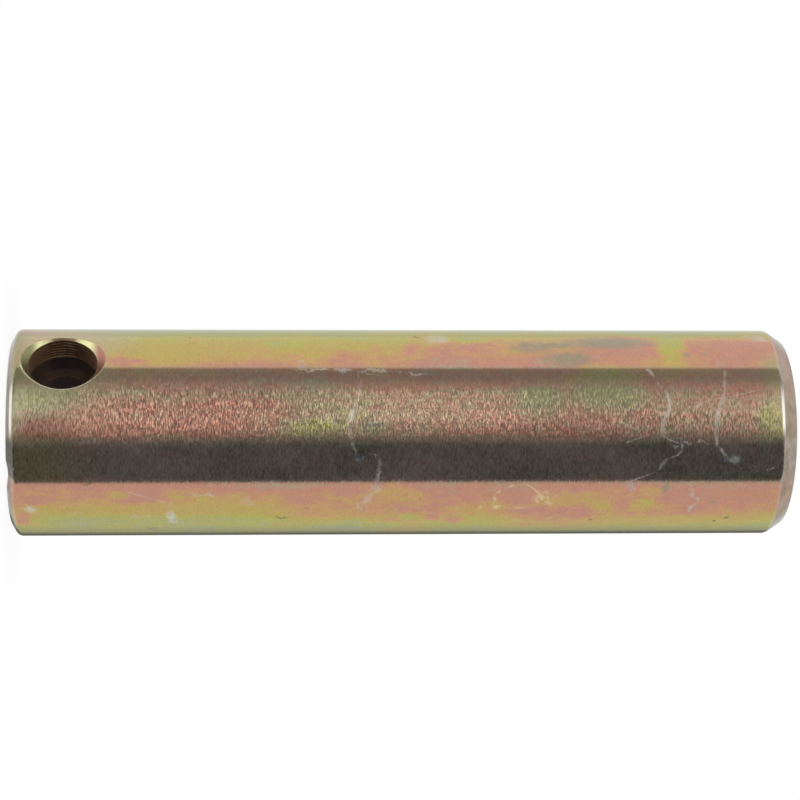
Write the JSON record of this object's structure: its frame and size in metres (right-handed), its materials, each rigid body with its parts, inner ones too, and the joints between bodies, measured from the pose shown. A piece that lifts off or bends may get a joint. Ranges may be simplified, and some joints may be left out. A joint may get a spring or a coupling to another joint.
{
  "type": "pivot pin",
  "caption": "Headless steel pivot pin with a bevelled lead end and a countersunk cross hole for a locking bolt near the tail end.",
  "frame": {"origin": "centre of the tail end face, the one nearer the cross hole; the pin stands on it", "axes": "+Z along the pin's axis towards the bevelled lead end, Y along the cross hole, with the mouth seen in the picture towards -Y"},
  "size_m": [0.0254, 0.0254, 0.0953],
  "materials": {
    "zinc_plated_steel": "ground, then zinc plated with an iridescent yellow chromate"
  },
  "bodies": {
    "root": {"pivot_pin": "zinc_plated_steel"}
  },
  "joints": []
}
